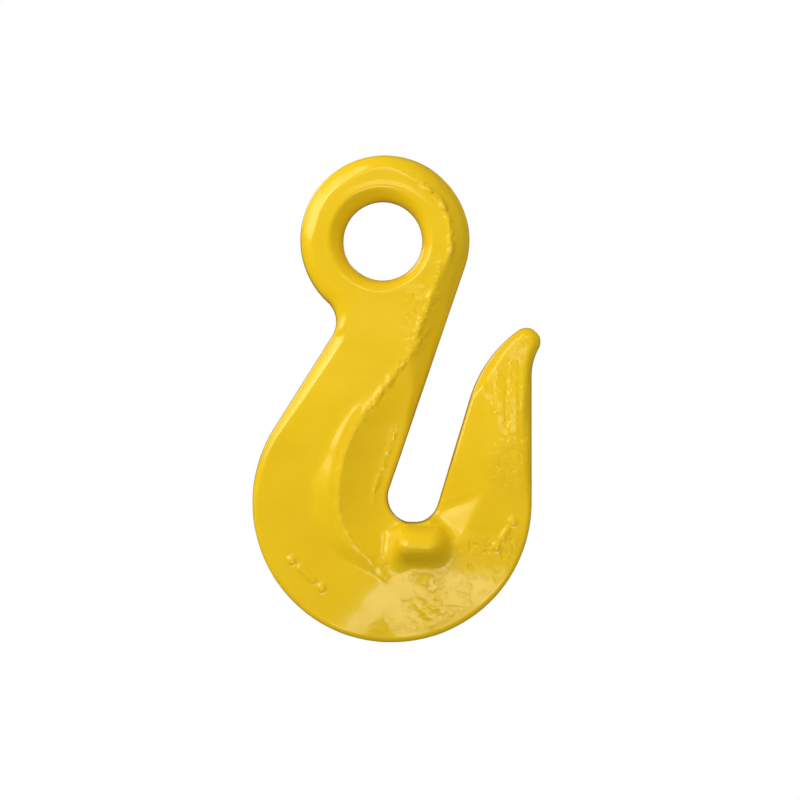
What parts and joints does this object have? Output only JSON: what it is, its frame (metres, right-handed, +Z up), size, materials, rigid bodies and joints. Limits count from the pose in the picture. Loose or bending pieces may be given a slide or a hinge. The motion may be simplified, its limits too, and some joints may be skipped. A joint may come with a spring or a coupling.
{
  "type": "eye grab hook",
  "caption": "Forged eye grab hook with a narrow chain slot, a link pocket on each face and support wings under the slot floor.",
  "frame": {"origin": "centre of the eye's bore, half way through the forging's thickness", "axes": "+Z up the hook from the bowl to the eye, +Y along the bore toward the back face, +X from the shank toward the point"},
  "size_m": [0.0718, 0.028, 0.1215],
  "materials": {
    "yellow_coat": "glossy chrome-yellow powder coat over a shot-blasted forged surface"
  },
  "bodies": {
    "root": {"forged_hook": "yellow_coat"}
  },
  "joints": []
}
